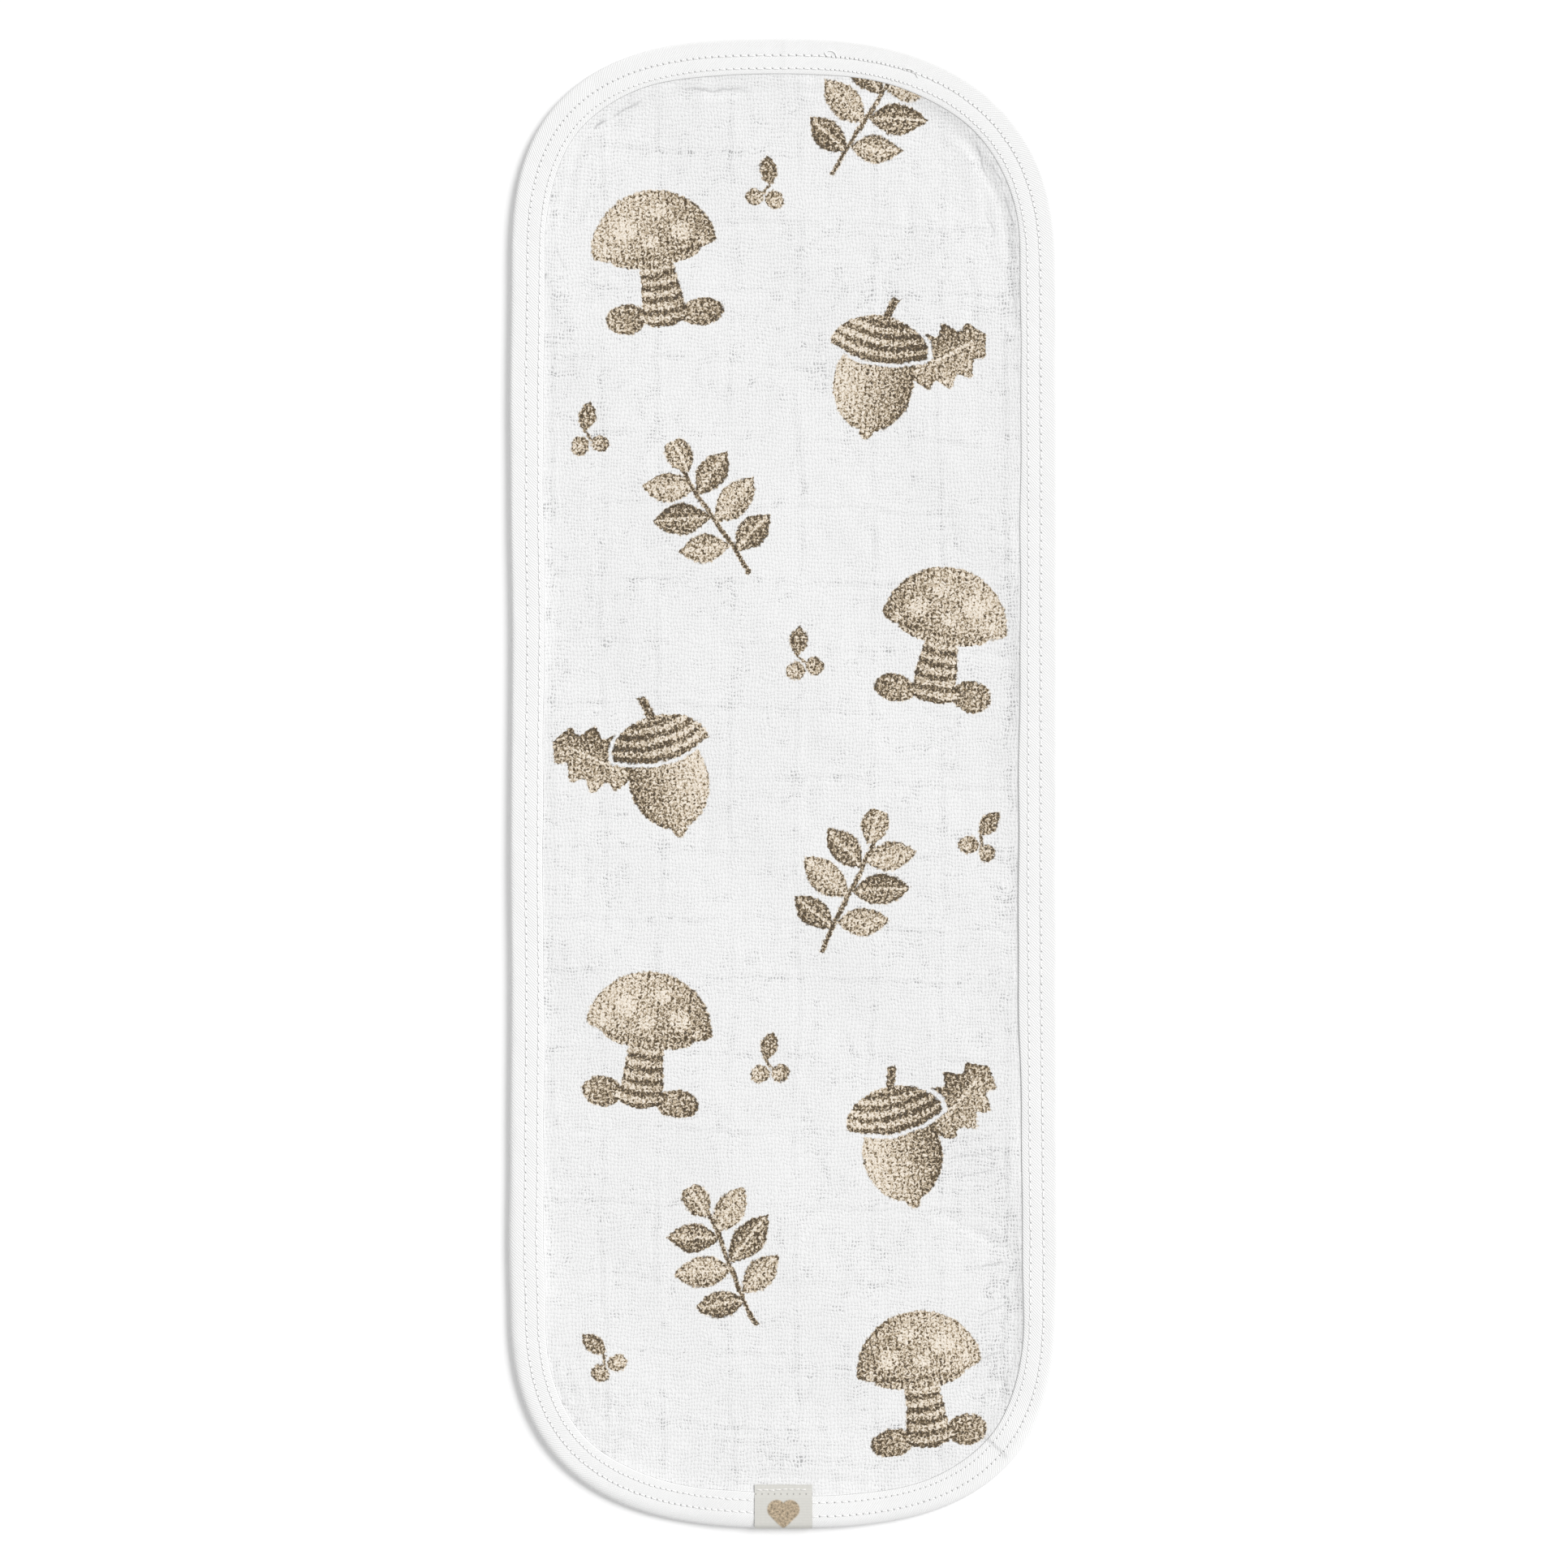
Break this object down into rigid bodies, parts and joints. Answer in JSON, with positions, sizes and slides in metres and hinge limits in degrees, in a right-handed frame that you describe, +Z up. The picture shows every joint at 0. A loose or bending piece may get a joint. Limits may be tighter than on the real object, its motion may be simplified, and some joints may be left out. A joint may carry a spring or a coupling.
{
  "type": "burp cloth",
  "caption": "Long narrow cloth with rounded ends: a printed muslin panel, a folded twill binding round its edge and a small folded tape label.",
  "frame": {"origin": "middle of the cloth's outline, on the surface it lies on", "axes": "+X across the cloth, +Y along it towards the end without the label, +Z up out of the printed face"},
  "size_m": [0.2013, 0.5458, 0.0051],
  "materials": {
    "muslin": "matt open-weave cotton, white, with a taupe and brown print",
    "twill": "matt white cotton twill",
    "tape": "smooth grey-beige woven tape"
  },
  "bodies": {
    "root": {"muslin_panel": "muslin", "binding": "twill", "label": "tape"}
  },
  "joints": []
}
